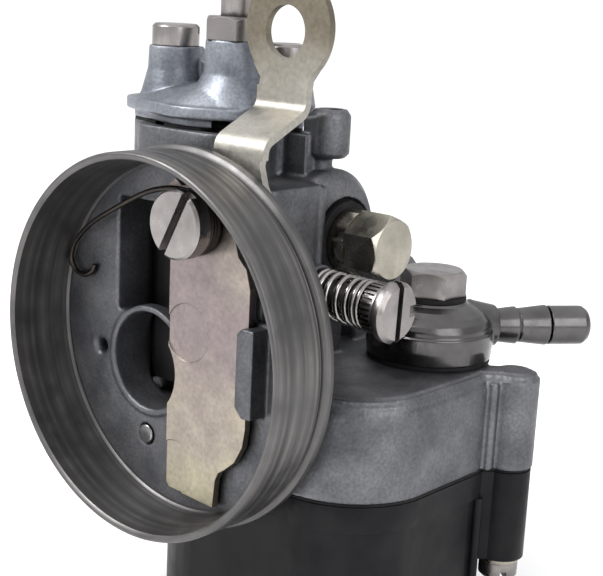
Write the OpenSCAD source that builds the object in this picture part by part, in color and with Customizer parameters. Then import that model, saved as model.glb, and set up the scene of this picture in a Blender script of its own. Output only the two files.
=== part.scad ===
// Side-draught slide carburettor for a small moped engine. All sizes in millimetres.
// The origin is the centre of the filter ring's front edge. +Y follows the air from the
// filter ring to the engine clamp, +X is the fuel inlet's side and +Z is up.

/* [Filter ring] */
// Outer radius of the filter ring
ring_r = 31; // [30.8:0.1:31.2]
// Radius of the thicker flange at the back of the ring
ring_flange_r = 31.5; // [31.2:0.1:31.8]
// Radius inside the ring at its front edge
ring_mouth_r = 29.8; // [29.6:0.1:30]
// Depth of the face inside the ring
face_y = 11.5; // [11.4:0.1:11.6]
// Back of the ring's base, where the choke lever turns
flange_back_y = 13.4; // [13.2:0.1:13.5]

/* [Air passage] */
// Radius of the venturi bore
bore_r = 8.3; // [8:0.1:8.3]
// Sideways place of the bore's axis
bore_x = -8; // [-8.2:0.1:-7.9]
// Height of the bore's axis
bore_z = -5.5; // [-5.8:0.1:-5.2]
// Radius of the bore that grips the engine's inlet stub
clamp_bore_r = 12; // [11.5:0.25:12]
// Front end of that bore
clamp_seat_y = 50; // [49:0.5:51]
// Outer radius of the clamp collar
clamp_r = 15; // [14.8:0.1:15.2]
// Back end of the clamp collar
clamp_back_y = 72; // [71:0.5:73]

/* [Slide tower] */
// Width of the slide chamber, across the air passage
chamber_w = 17; // [16.8:0.1:17.2]
// Front wall of the slide chamber
chamber_front_y = 18.1; // [18:0.1:18.2]
// Back wall of the slide chamber
chamber_back_y = 30.5; // [30.4:0.1:30.6]
// Top face of the tower, where the cap sits
tower_top_z = 33; // [32.8:0.1:33.2]
// How far the throttle slide lifts
slide_travel = 15.5; // [14:0.5:15.5]

/* [Choke] */
// Sideways place of the choke pivot
pivot_x = 5; // [4.8:0.1:5.2]
// Height of the choke pivot
pivot_z = 20.3; // [20:0.1:20.6]
// Thickness of the choke plate and of its lever
sheet_t = 1.3; // [1.1:0.1:1.4]
// Radius of the choke pivot screw's head
pivot_head_r = 5.5; // [5:0.1:5.8]
// Radius of the finger hole in the lever
lever_hole_r = 4.1; // [3.8:0.1:4.3]
// Radius of the lever's round head
lever_head_r = 8.7; // [8.4:0.1:9]

/* [Float chamber] */
// Left wall of the float chamber
float_x0 = -16.7; // [-17:0.1:-16.4]
// Right wall of the float chamber
float_x1 = 35.6; // [35.4:0.1:35.8]
// Front wall of the float chamber
float_y0 = 15.8; // [15.6:0.1:16]
// Back wall of the float chamber
float_y1 = 61; // [60.8:0.1:61.4]
// Top of the float chamber's metal lid
lid_top_z = -5; // [-5.2:0.1:-4.8]
// Joint between the metal lid and the bowl
joint_z = -22; // [-22.2:0.1:-21.8]
// Lowest face of the bowl
bowl_bottom_z = -50; // [-52:0.5:-48]

/* [Fuel inlet] */
// Sideways place of the inlet bolt
inlet_x = 21.8; // [21.6:0.1:22]
// Place of the inlet bolt along the air passage
inlet_y = 49.8; // [49.6:0.1:50]
// Direction of the hose barb, turned from +X towards +Y
barb_angle = 52; // [45:1:60]
// Radius of the hose barb at its tip
barb_r = 3.45; // [3.3:0.05:3.6]

/* [Hidden] */
$fn = 64;

gap = 0.05;               // running or threaded clearance on a radius
play = 0.15;              // clearance between sliding flat faces
cut = 1;                  // how far a cutting solid runs past the face that it cuts

// Slide chamber and cap
chamber_x0 = bore_x - chamber_w / 2;
chamber_x1 = bore_x + chamber_w / 2;
chamber_corner = 3;
tower_x0 = -19.3;          // left wall of the tower
chamber_floor_z = bore_z - bore_r;
air_hole_x = -20.2;
cap_left = [-19.6, 27];   // left cap screw
cap_mid = [-8, 26];       // middle of the cap
cap_right = [1, 32.5];    // right cap screw
cap_gasket_t = 0.4;
cap_z = tower_top_z + cap_gasket_t;
cap_lip_z0 = 34.8;
cap_lip_z1 = 36.8;
cap_left_z = 45.6;        // seat of the left screw
cap_right_z = 43.5;       // seat of the right screw
cap_cable_z = 47.4;       // seat of the lock nut
cap_screw_r = 2;
cap_head_r = 4.05;
cap_head_h = 3.7;
cable_at = [-5, 27.2];
adjuster_r = 3;
adjuster_top_z = 68;
lock_nut_af = 10;
lock_nut_h = 3.8;
spring_seat_z = 38.5;

// Throttle slide
slide_x0 = chamber_x0 + play;
slide_x1 = chamber_x1 - play;
slide_y0 = chamber_front_y + play;
slide_y1 = chamber_back_y - play;
slide_z0 = chamber_floor_z + 0.4;
slide_z1 = 15.6;
slide_pocket_r = 3.3;
slide_pocket_z = -4;
throttle_wire_r = 0.35;

// Choke
plate_y = face_y - 0.5;      // back of the choke plate
lip_y = face_y - 0.4;        // front of the low lip round the bore
lip_w = 1.1;
plate_hole = [-7.9, -6.1];
plate_hole_r = 8;
passage_plug_at = [-8.3, -18.5];
lever_y0 = flange_back_y + 0.15;
head_front_y = 3.8;
head_back_y = 6.6;
pivot_r = 3;
pivot_square = 4.1;
choke_wire_r = 0.45;
choke_coil_r = 4.9;
lever_top_y = 23;         // front of the lever's round head
lever_head = [9.5, 50.1];
lever_hole = [9.1, 49.6];

// Idle speed screw: it slopes down towards its head
idle_y = 24;
idle_x = 18.2;            // end face of the boss that holds it
idle_z = 9.45;            // height of its axis at that face
idle_tilt = 1.9;
idle_r = 2.5;
idle_head_r = 4.05;
idle_cap_r = 4.85;
idle_head_start = 10.9;   // from the boss to the knurled head
idle_head_end = 15.8;

// Side plug
plug_y = 36.9;
plug_z = 15.4;
housing = [35, 16.4];      // centre of the plug's round housing, in Y and Z
plug_face_x = 12;
plug_af = 10;

// Metering parts below the slide
jet_y = 27;
jet_post_z = -31;
idle_jet_x = bore_x + 10.5;

// Float, its pin and its valve
pin_y = 54.5;
pin_z = -17.5;
pin_r = 1;
valve_y = inlet_y;
valve_x = inlet_x;
valve_seat_r = 3.6;
needle_r = 1.7;

// Float chamber
float_corner = 15;
float_wall = 2.4;
bowl_rim_h = 4.5;
gasket_t = 0.5;
ear_right = [36.6, 54.7];
ear_left = [-20.6, 25.4];
ear_r = 4.4;
ear_root_right = [29, 48];  // where the web of the right ear meets the chamber
ear_root_left = [-12, 31];
ear_bottom_z = -38.7;
bowl_screw_r = 2;

// Fuel inlet
inlet_base_r = 11;
inlet_z = 0.5;            // height of the barb's axis
inlet_top_z = 5.4;
washer_t = 0.8;
bolt_af = 10;
barb_start = 21.4;
barb_length = 6.2;
barb_end = barb_start + barb_length - 0.01;
bolt_r = 3;

// Engine clamp
ear_clamp_x = -26.5;
clamp_screw_y = 66.5;
clamp_screw_r = 3;
clamp_ear_h = 7.5;

// ---- Shapes that repeat ----

// Outline in X and Z, filled from y0 to y1
module upright(y0, y1) {
  translate([0, y1, 0]) rotate([90, 0, 0]) linear_extrude(y1 - y0) children();
}

module bar_x(y, z, r, x0, x1) {
  translate([x0, y, z]) rotate([0, 90, 0]) cylinder(r = r, h = x1 - x0);
}

module bar_y(x, z, r, y0, y1) {
  translate([x, y0, z]) rotate([-90, 0, 0]) cylinder(r = r, h = y1 - y0);
}

module bar_z(at, r, z0, z1) {
  translate([at.x, at.y, z0]) cylinder(r = r, h = z1 - z0);
}

module box(low, high) {
  translate(low) cube(high - low);
}

// Block with round upright edges
module round_block(x0, x1, y0, y1, z0, z1, r) {
  box([x0 + r, y0, z0], [x1 - r, y1, z1]);
  box([x0, y0 + r, z0], [x1, y1 - r, z1]);
  for (x = [x0 + r, x1 - r], y = [y0 + r, y1 - r]) bar_z([x, y], r, z0, z1);
}

// Hexagonal prism along +Z, measured across its flats
module hex_bar(flats, height, turn = 0) {
  rotate(turn) cylinder(r = flats / sqrt(3), h = height, $fn = 6);
}

// Hexagon along +Z whose corners are turned down by a cone
module hex_head(flats, height, turn = 0) {
  corner = flats / sqrt(3);
  intersection() {
    hex_bar(flats, height, turn);
    cylinder(r1 = corner + height, r2 = flats / 2 * 0.97, h = height + 0.01);
  }
}

// Corner points of the band between two circles, a hair inside their common tangents
tuck = 0.03;
function band(p, r, q, s) =
  let (way = q - p, a = atan2(way.y, way.x), b = acos((r - s) / norm(way)))
  [for (c = [[p, r, a + b], [q, s, a + b], [q, s, a - b], [p, r, a - b]])
    c[0] + (c[1] - tuck) * [cos(c[2]), sin(c[2])]];

// Three circles joined by tangent bands: the outline of the cap and of the tower's top
module cap_outline(left_r, mid_r, right_r) {
  translate(cap_left) circle(left_r);
  translate(cap_mid) circle(mid_r);
  translate(cap_right) circle(right_r);
  polygon(band(cap_left, left_r, cap_mid, mid_r));
  polygon(band(cap_mid, mid_r, cap_right, right_r));
}

// Tube of round wire swept along a list of points; each ring faces the way to the next point
function unit(v) = v / norm(v);
function tangent(points, i) =
  unit(points[min(i + 1, len(points) - 1)] - points[max(i - 1, 0)]);

// axis is the coil's own axis, which the wire never runs along
module wire(points, r, axis, sides = 8) {
  rings = [
    for (i = [0 : len(points) - 1])
      let (t = tangent(points, i), u = unit(cross(t, axis)), v = cross(t, u))
      for (k = [0 : sides - 1]) points[i] + r * (cos(360 * k / sides) * u + sin(360 * k / sides) * v)
  ];
  last = (len(points) - 1) * sides;
  walls = [
    for (i = [0 : len(points) - 2], k = [0 : sides - 1])
      let (a = i * sides + k, b = i * sides + (k + 1) % sides)
      each [[a, a + sides, b + sides], [a, b + sides, b]]
  ];
  start = [for (k = [0 : sides - 1]) k];
  end = [for (k = [0 : sides - 1]) last + sides - 1 - k];
  polyhedron(points = rings, faces = concat([start], walls, [end]), convexity = 10);
}

// Points of a helix about +Z that starts at z = 0, with its end turns closed up
function helix(r, height, turns, steps) = [
  for (i = [0 : turns * steps])
    let (a = 360 * i / steps, f = i / (turns * steps))
    [r * cos(a), r * sin(a), height * (f - sin(360 * f) / (2 * PI) * 0.45)]
];

// Points along a smooth curve through hand-placed points
function bend(p, i, t) =
  let (n = len(p) - 1, a = p[max(i - 1, 0)], b = p[i], c = p[min(i + 1, n)], d = p[min(i + 2, n)])
  0.5 * (2 * b + (c - a) * t + (2 * a - 5 * b + 4 * c - d) * t * t + (3 * b - a - 3 * c + d) * t * t * t);
function smooth(p, steps) = concat(
  [for (i = [0 : len(p) - 2], k = [0 : steps - 1]) bend(p, i, k / steps)],
  [p[len(p) - 1]]
);

// Places the idle screw's own axis, which runs outwards along its +Z
module on_idle_axis() {
  translate([idle_x, idle_y, idle_z]) rotate([0, 90 + idle_tilt, 0]) children();
}

// ---- Body casting ----

// Filter ring: straight outside, slightly tapered inside, with a groove before the flange
module filter_ring() {
  floor_r = ring_mouth_r - 0.6;
  rotate([-90, 0, 0]) rotate_extrude() polygon([
    [0, face_y], [floor_r, face_y], [ring_mouth_r, 0.4], [ring_mouth_r + 0.4, 0],
    [ring_r - 0.3, 0], [ring_r, 0.3], [ring_r, 9.2], [ring_r - 0.6, 9.5], [ring_r - 0.6, 10.3],
    [ring_flange_r, 10.6], [ring_flange_r, 12], [ring_flange_r - 0.3, 12.3],
    [floor_r + 0.4, 12.3], [floor_r, flange_back_y], [0, flange_back_y]
  ]);
}

// Hooked lug that holds the open choke plate's right edge
module plate_lug() {
  box([16.5, 8, -8.8], [18.6, face_y + 0.1, 5.5]);
  upright(8, 9.7) polygon([
    [16.1, 5.5], [18.6, 5.5], [18.6, -8.8], [16.6, -8.8], [15.1, -7.2], [15.1, 4.5]
  ]);
}

module tower() {
  round_block(tower_x0, chamber_x1 + 2.6, 15.5, 33.5, -8, tower_top_z, 5);
  translate([0, 0, 25]) linear_extrude(tower_top_z - 25) cap_outline(6.8, 9, 3.5);
  bar_z(cap_left, 6.8, 12, 26);
  // lower block with the lever's side wall and its step under the recessed panel
  round_block(tower_x0, 14, 15.5, 29.5, -8, 25.6, 3);
  // narrow ribs down the block's back corner
  for (p = [[13.2, 28.6], [12.2, 30]]) bar_z(p, 0.9, -4, 25);
  // spacer that joins the tower to the ring's back, clear of the choke lever
  box([tower_x0, face_y + 0.5, -8], [-7, 17, 22]);
  box([tower_x0, face_y + 0.5, -22], [14, 17, 8]);
}

// Vent boss beside the tower, on its thin stem
module vent_boss() {
  at = [9.6, 34.6];
  box([0, 30, 8], [8.4, 33.6, tower_top_z]);
  bar_z([8.2, 34.2], 2, 8, 30.5);
  bar_z([8.2, 34.2], 2.6, 8, 27);
  bar_z(at, 3.4, 30, 36.2);
  translate([at.x, at.y, 36.2]) cylinder(r1 = 3.4, r2 = 2.7, h = 1);
  translate([at.x, at.y, 29.2]) cylinder(r1 = 2.6, r2 = 3.4, h = 0.8);
  box([2, 32.6, 29.8], [9, 34.6, 32.6]);
  box([6.7, 31, 29.8], [9.6, 34.6, 36]);
}

// Round housing for the side plug
module plug_housing() {
  bar_x(housing[0], housing[1], 11, -8, plug_face_x - 1.6);
  translate([plug_face_x - 1.6, housing[0], housing[1]]) rotate([0, 90, 0])
    cylinder(r1 = 11, r2 = 9.4, h = 1.6);
  box([-6, 28, -8], [plug_face_x - 2, 40, 12]);
}

// Chamber outline pulled in by an inset all round
module chamber_block(inset, z0, z1) {
  round_block(float_x0 + inset, float_x1 - inset, float_y0 + inset, float_y1 - inset, z0, z1, float_corner - inset);
}

// Screw ear with its narrower web towards the chamber
module ear_column(ear, root, r, z0, z1) {
  bar_z(ear, r, z0, z1);
  translate([0, 0, z0]) linear_extrude(z1 - z0) polygon(band(ear, r - 0.9, root, r - 0.9));
}

// Lid of the float chamber; its top edge steps inwards to a round
module lid_block() {
  chamber_block(0, joint_z, lid_top_z - 2.2);
  chamber_block(0.35, lid_top_z - 2.3, lid_top_z - 1.1);
  chamber_block(1, lid_top_z - 1.2, lid_top_z - 0.4);
  chamber_block(2, lid_top_z - 0.5, lid_top_z);
  for (ear = [[ear_right, ear_root_right], [ear_left, ear_root_left]]) {
    ear_column(ear[0], ear[1], ear_r, joint_z, lid_top_z - 1.2);
    ear_column(ear[0], ear[1], ear_r - 0.6, lid_top_z - 1.3, lid_top_z - 0.4);
    ear_column(ear[0], ear[1], ear_r - 1.5, lid_top_z - 0.5, lid_top_z);
  }
  bar_z([36, 49.4], 0.9, joint_z, lid_top_z - 1.5);
}

module clamp_collar() {
  bar_y(bore_x, bore_z, 11, 15, clamp_seat_y);
  bar_y(bore_x, bore_z, clamp_r, clamp_seat_y - 2.5, clamp_back_y);
  box([ear_clamp_x - 5, 61.5, bore_z - clamp_ear_h], [bore_x, clamp_back_y, bore_z + clamp_ear_h]);
}

module metering_posts() {
  bar_z([bore_x, jet_y], 4.4, jet_post_z, bore_z - bore_r);
  bar_z([idle_jet_x, jet_y], 4, -27, -10);
  box([bore_x, jet_y - 2, -26], [idle_jet_x, jet_y + 2, -12]);
}

module float_hinge_posts() {
  for (x = [valve_x - 8.4, valve_x + 5.4]) box([x, pin_y - 2.5, pin_z - 2.2], [x + 3, float_y1 - 1, lid_top_z - 2]);
}

module body_holes() {
  // air passage and engine bore
  bar_y(bore_x, bore_z, bore_r, -cut, clamp_seat_y + cut);
  bar_y(bore_x, bore_z, clamp_bore_r, clamp_seat_y, clamp_back_y + cut);
  // slot and screw hole of the clamp
  box([ear_clamp_x - 6, 59, bore_z - 1.2], [bore_x, clamp_back_y + cut, bore_z + 1.2]);
  bar_z([ear_clamp_x, clamp_screw_y], clamp_screw_r + 0.2, bore_z - clamp_ear_h - cut, bore_z + clamp_ear_h + cut);
  translate([ear_clamp_x, clamp_screw_y, bore_z - clamp_ear_h - 0.01]) hex_bar(10.1, 3, 30);
  // slide chamber
  round_block(chamber_x0, chamber_x1, chamber_front_y, chamber_back_y, chamber_floor_z, tower_top_z + cut, chamber_corner);
  // room for the choke lever behind the ring, and its shaft
  box([-5, flange_back_y, 9.6], [20, 15.5, tower_top_z + cut]);
  bar_y(pivot_x, pivot_z, 5, 15.4, 17.4);
  bar_y(pivot_x, pivot_z, pivot_r + gap, face_y - cut, flange_back_y + cut);
  // countersunk air hole, and the recess above the lug
  bar_y(air_hole_x, bore_z, 1.2, face_y - cut, 18);
  translate([air_hole_x, face_y - 0.01, bore_z]) rotate([-90, 0, 0]) cylinder(r1 = 1.8, r2 = 1.2, h = 0.6);
  box([15.6, face_y - cut, 6], [21.5, face_y + 1.3, 13]);
  // chamfered mouth of the air passage
  translate([bore_x, lip_y - 0.01, bore_z]) rotate([-90, 0, 0]) cylinder(r1 = bore_r + 0.2, r2 = bore_r, h = 0.2);
  // seat of the pressed plug in the face
  bar_y(passage_plug_at.x, passage_plug_at.y, 1.7 + gap, face_y - cut, face_y + 1.7);
  // cap screws
  bar_z(cap_left, cap_screw_r + gap, 21, tower_top_z + cut);
  bar_z(cap_right, cap_screw_r + gap, 21, tower_top_z + cut);
  // idle speed screw
  on_idle_axis() translate([0, 0, -19]) cylinder(r = idle_r + gap, h = 24);
  // side plug, with the shallow seat round it
  bar_x(plug_y, plug_z, 7.2, plug_face_x - 0.8, plug_face_x + cut);
  bar_x(plug_y, plug_z, 4 + gap, plug_face_x - 9, plug_face_x);
  // blind vent
  bar_z([9.6, 34.6], 1.9, 35.4, 38);
  // atomizer, main jet and idle jet
  bar_z([bore_x, jet_y], 2.5, jet_post_z - cut, bore_z - bore_r + cut);
  bar_z([idle_jet_x, jet_y], 2.1, -28, -16);
  bar_z([idle_jet_x, jet_y], 0.8, -17, -11.5);
  bar_y(idle_jet_x - 6.5, -11.2, 0.8, jet_y - 0.8, jet_y + 0.8);
  // fuel inlet: bolt thread, filter chamber and valve seat
  bar_z([valve_x, valve_y], bolt_r + gap, -9, lid_top_z + cut);
  bar_z([valve_x, valve_y], 1.5, -12, -8);
  bar_z([valve_x, valve_y], valve_seat_r + gap, -15.5, -10.5);
  // float pin
  bar_x(pin_y, pin_z, pin_r + 0.02, valve_x - 10, valve_x + 10);
  // bowl screws
  for (ear = [ear_right, ear_left]) bar_z(ear, bowl_screw_r + gap, joint_z - cut, -9);
}

// Hollow of the lid above the bowl
module lid_hollow() {
  difference() {
    chamber_block(float_wall, joint_z - cut, lid_top_z - 3);
    bar_y(bore_x, bore_z, 11, 14, clamp_seat_y);
    bar_y(bore_x, bore_z, clamp_r, clamp_seat_y - 2.5, clamp_back_y);
    round_block(chamber_x0 - 2, chamber_x1 + 2, 15.5, 33, chamber_floor_z - 2.2, 0, 3);
    bar_z([valve_x, valve_y], 6, -15, 0);
    metering_posts();
    float_hinge_posts();
  }
}

// The body's outer shapes, with the window that opens the slide chamber to the front
module body_outside() {
  difference() {
    union() {
      filter_ring();
      bar_y(air_hole_x, bore_z, 2.8, face_y + 0.5, 22);
      plate_lug();
      tower();
      vent_boss();
      plug_housing();
      lid_block();
      clamp_collar();
      metering_posts();
      // boss that carries the idle speed screw
      on_idle_axis() translate([0, 0, -8]) cylinder(r = 4.3, h = 8);
    }
    box([-16, face_y - 2, 2], [0, chamber_front_y + chamber_corner, 21.4]);
  }
  // lip round the bore's mouth; its top arches over the foot of the window
  bar_y(bore_x, bore_z, bore_r + lip_w, lip_y, face_y + 2.2);
}

module body() {
  color("#a6aab2") difference() {
    body_outside();
    lid_hollow();
    body_holes();
  }
}

module passage_plug() {
  color("#b9b4a8") bar_y(passage_plug_at.x, passage_plug_at.y, 1.7, face_y - 0.35, face_y + 1.6);
}

// ---- Cap, cable adjuster, slide ----

// Slightly tapered boss on the cap, with a flared foot
module cap_boss(at, foot_r, top_r, top_z, flare) {
  translate([at.x, at.y, cap_lip_z0]) cylinder(r1 = foot_r, r2 = top_r, h = top_z - cap_lip_z0);
  translate([at.x, at.y, cap_lip_z1]) cylinder(r1 = foot_r + flare, r2 = top_r, h = 5.6);
}

module chamber_cap() {
  color("#b2b6bd") difference() {
    union() {
      translate([0, 0, cap_z]) linear_extrude(cap_lip_z0 - cap_z) cap_outline(6.8, 9, 3.5);
      translate([0, 0, cap_lip_z0]) linear_extrude(cap_lip_z1 - cap_lip_z0) cap_outline(8.2, 10.4, 5);
      // sloping roof up to the foot of the cable boss
      hull() {
        for (p = [[cap_left, 6.8], [cap_mid, 9], [cap_right, 3.8]])
          bar_z(p[0], p[1], cap_lip_z1 - 0.6, cap_lip_z1 + 0.1, $fn = 32);
        bar_z(cable_at, 5.5, 40, 40.4, $fn = 32);
      }
      cap_boss(cap_left, 5, 4.5, cap_left_z, 1);
      cap_boss(cap_right, 4.8, 4.3, cap_right_z, 0.6);
      cap_boss(cable_at, 6, 5.3, cap_cable_z, 2.4);
      // web from the left screw boss to the cable boss, dipped in the middle
      difference() {
        box([cap_left.x + 2, 28.4, cap_lip_z1], [cable_at.x - 2, 31, cap_left_z]);
        bar_y((cap_left.x + cable_at.x) / 2 + 0.4, cap_left_z + 2.6, 5.4, 25, 34);
      }
    }
    // slide room, spring seat and holes
    round_block(chamber_x0 + 1, chamber_x1 - 1, chamber_front_y + 1, chamber_back_y - 1, cap_z - cut, cap_lip_z0 + 0.7, 2);
    bar_z(cable_at, 3.4, cap_z - cut, spring_seat_z);
    // flat seat for the right screw, cut into the cable boss
    bar_z(cap_right, cap_head_r + 0.3, cap_right_z, cap_cable_z + cut);
    bar_z(cable_at, adjuster_r + gap, spring_seat_z - cut, cap_cable_z + cut);
    bar_z(cap_left, cap_screw_r + 0.3, cap_z - cut, cap_left_z + cut);
    bar_z(cap_right, cap_screw_r + 0.3, cap_z - cut, cap_right_z + cut);
  }
}

module cap_gasket() {
  color("#3a3732") difference() {
    translate([0, 0, tower_top_z]) linear_extrude(cap_gasket_t) cap_outline(6.7, 8.9, 3.4);
    round_block(chamber_x0, chamber_x1, chamber_front_y, chamber_back_y, tower_top_z - cut, cap_z + cut, chamber_corner);
    bar_z(cap_left, cap_screw_r + 0.3, tower_top_z - cut, cap_z + cut);
    bar_z(cap_right, cap_screw_r + 0.3, tower_top_z - cut, cap_z + cut);
  }
}

// Cheese-head screw standing on z = 0, slotted across the top
module cheese_screw(head_r, head_h, shank_r, length, slot_turn) {
  difference() {
    union() {
      cylinder(r = head_r, h = head_h - 0.5);
      translate([0, 0, head_h - 0.5]) cylinder(r1 = head_r, r2 = head_r - 0.5, h = 0.5);
      translate([0, 0, -length]) cylinder(r = shank_r, h = length + 0.1);
    }
    rotate(slot_turn) translate([-head_r - cut, -0.6, head_h - 1.6]) cube([2 * (head_r + cut), 1.2, 3]);
  }
}

module cap_screws() {
  color("#c9ccd0") {
    translate([cap_left.x, cap_left.y, cap_left_z]) cheese_screw(cap_head_r, cap_head_h, cap_screw_r, 24, 35);
    translate([cap_right.x, cap_right.y, cap_right_z]) cheese_screw(cap_head_r, cap_head_h, cap_screw_r, 22, 80);
  }
}

module cable_adjuster() {
  knob_z = adjuster_top_z - 6;
  color("#c4c7cb") translate([cable_at.x, cable_at.y, 0]) difference() {
    union() {
      translate([0, 0, 40]) cylinder(r = adjuster_r, h = knob_z - 39.9);
      translate([0, 0, knob_z]) cylinder(r = 4.6, h = 5.4);
      translate([0, 0, knob_z + 5.4]) cylinder(r1 = 4.6, r2 = 4, h = 0.6);
    }
    translate([0, 0, 39]) cylinder(r = 1.1, h = 40);
    translate([0, 0, adjuster_top_z - 5]) cylinder(r = 2.6, h = 6);
    for (a = [0 : 30 : 330]) rotate(a) translate([4.9, 0, knob_z - cut]) cylinder(r = 0.6, h = 9, $fn = 24);
  }
}

module adjuster_lock_nut() {
  color("#c4c7cb") translate([cable_at.x, cable_at.y, cap_cable_z]) difference() {
    hex_head(lock_nut_af, lock_nut_h, 10);
    translate([0, 0, -cut]) cylinder(r = adjuster_r + gap, h = lock_nut_h + 2 * cut);
  }
}

module throttle_slide() {
  color("#b8bcc2") difference() {
    round_block(slide_x0, slide_x1, slide_y0, slide_y1, slide_z0, slide_z1, chamber_corner - play);
    // spring pocket, cable slot and nipple seat
    bar_z(cable_at, slide_pocket_r, slide_pocket_z, slide_z1 + cut);
    bar_z(cable_at, 1.1, slide_z0 - cut, slide_z1);
    box([cable_at.x - 1.1, cable_at.y, slide_z0 - cut], [cable_at.x + 1.1, slide_y1 + cut, slide_z1 + cut]);
    bar_z(cable_at, 2.6, slide_z0 - cut, slide_pocket_z - 3);
    // slanted cutaway on the intake side
    translate([0, slide_y0, slide_z0]) rotate([0, 90, 0]) translate([0, 0, slide_x0 - cut])
      cylinder(r = 2.6, h = slide_x1 - slide_x0 + 2 * cut, $fn = 4);
    // groove for the idle screw's tip
    box([slide_x1 - 1.4, idle_y - 2.8, slide_z0 - cut], [slide_x1 + cut, idle_y + 2.8, 15]);
  }
}

module throttle_spring() {
  color("#8d8f92") translate([cable_at.x, cable_at.y, slide_pocket_z + 0.4])
    wire(helix(2.75, spring_seat_z - slide_pocket_z - 0.8, 12, 16), throttle_wire_r, [0, 0, 1], 6);
}

// ---- Choke ----

module choke_plate() {
  color("#c9bfae") difference() {
    upright(plate_y - sheet_t, plate_y) difference() {
      polygon([
        [-1.6, -24.7], [-0.9, -25.5], [9.5, -26.1], [9.95, -21.3], [10.6, -19.9], [11.9, -19], [14, -17.2],
        [15.6, -14.3], [16.1, -11.2], [16.1, 11.3], [15.2, 14.3], [13.4, 16], [12, 20.3],
        [10.4, 24.2], [6.5, 26.4], [0.6, 25.4], [-0.8, 26.4], [-2.4, 25.2], [-1.6, 20]
      ]);
      translate(plate_hole) circle(plate_hole_r);
      translate([pivot_x, pivot_z]) square(pivot_square + 0.1, center = true);
    }
    // two shallow pressed rounds
    bar_y(2.7, 1.8, 4.8, plate_y - sheet_t - cut, plate_y - sheet_t + 0.25);
    bar_y(0.5, -21.5, 4.5, plate_y - sheet_t - cut, plate_y - sheet_t + 0.25);
  }
}

// Points along an arc, in Y and Z
function arc(centre, r, from, to) =
  [for (i = [0 : 8]) centre + r * [cos(from + (to - from) * i / 8), sin(from + (to - from) * i / 8)]];

// Side view of the lever's step: it bends back over the ring, then up again
module lever_step() {
  turn = 63.4;
  low_r = 3;
  high_r = 2;
  low_at = [lever_y0 + low_r, 31.3];
  high_at = [lever_top_y - high_r, low_at.y + 7.8];
  polygon(concat(
    [[lever_y0, 30.5]],
    arc(low_at, low_r, 180, 180 - turn),
    arc(high_at, high_r, -turn, 0),
    [[lever_top_y, 41], [lever_top_y + sheet_t, 41]],
    arc(high_at, high_r + sheet_t, 0, -turn),
    arc(low_at, low_r - sheet_t, 180 - turn, 180),
    [[lever_y0 + sheet_t, 30.5]]
  ));
}

// Choke lever: a flat foot behind the ring, a step back over it, and an upright round head
module choke_lever() {
  color("#cfc8b4") difference() {
    union() {
      upright(lever_y0, lever_y0 + sheet_t) {
        polygon([
          [0, 20.3], [1.2, 27], [2.2, 30.2], [3.5, 31.4], [13.8, 31.4], [13.5, 29.6], [14.4, 26.6],
          [16.4, 23.4], [11, 17], [5, 14.8], [0.6, 17]
        ]);
        translate([pivot_x, pivot_z]) circle(5.6);
      }
      translate([3.6, 0, 0]) rotate([90, 0, 90]) linear_extrude(10.5) lever_step();
      upright(lever_top_y, lever_top_y + sheet_t) {
        translate(lever_head) circle(lever_head_r);
        polygon([[3.8, 40], [4.2, 42.2], [2.6, 44.4], [16, 44.4], [14.4, 42.2], [14.1, 40]]);
      }
    }
    bar_y(lever_hole.x, lever_hole.y, lever_hole_r, lever_top_y - cut, lever_top_y + sheet_t + cut);
    upright(lever_y0 - cut, lever_y0 + sheet_t + cut)
      translate([pivot_x, pivot_z]) square(pivot_square + 0.1, center = true);
  }
}

module choke_pivot_screw() {
  color("#c6c9cc") translate([pivot_x, 0, pivot_z]) rotate([-90, 0, 0]) difference() {
    union() {
      translate([0, 0, head_front_y + 0.4]) cylinder(r = pivot_head_r, h = head_back_y - head_front_y - 0.4);
      translate([0, 0, head_front_y]) cylinder(r1 = pivot_head_r - 0.4, r2 = pivot_head_r, h = 0.41);
      translate([0, 0, head_back_y - 0.1]) cylinder(r = 3.6, h = plate_y - sheet_t - head_back_y + 0.1);
      translate([-pivot_square / 2, -pivot_square / 2, plate_y - sheet_t])
        cube([pivot_square, pivot_square, lever_y0 + 2 * sheet_t - plate_y]);
      translate([0, 0, face_y]) cylinder(r = pivot_r, h = flange_back_y - face_y + 0.1);
      translate([0, 0, lever_y0 + sheet_t]) cylinder(r = 3.4, h = 1.2);
    }
    rotate(-62) translate([-10, -0.75, head_front_y - cut]) cube([20, 1.5, cut + 1.7]);
  }
}

// Torsion spring: coil round the pivot, long leg to the hook hole in the face
module choke_spring() {
  coil = [
    for (i = [0 : 72])
      let (a = 90 + 360 * 3 * i / 72)
      [pivot_x + choke_coil_r * cos(a), 9.2 - 1.8 * i / 72, pivot_z + choke_coil_r * sin(a)]
  ];
  leg = smooth([
    coil[72], [0.6, 7.5, 25.1], [-4.3, 7.7, 24], [-9.2, 8, 21.9], [-14.2, 8.3, 19.4], [-18.8, 8.8, 17],
    [-23, 9.4, 14.2], [-25.7, 9.8, 11.4], [-26.7, 10.2, 8.8], [-25.8, 10.5, 7], [-23.7, 10.6, 6.6],
    [-21.9, 10.8, 7.5], [-21.4, 10.9, 8.7]
  ], 3);
  color("#4a342c") wire(concat(coil, [for (i = [1 : len(leg) - 1]) leg[i]]), choke_wire_r, [0, 1, 0]);
}

// ---- Idle speed screw ----

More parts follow.
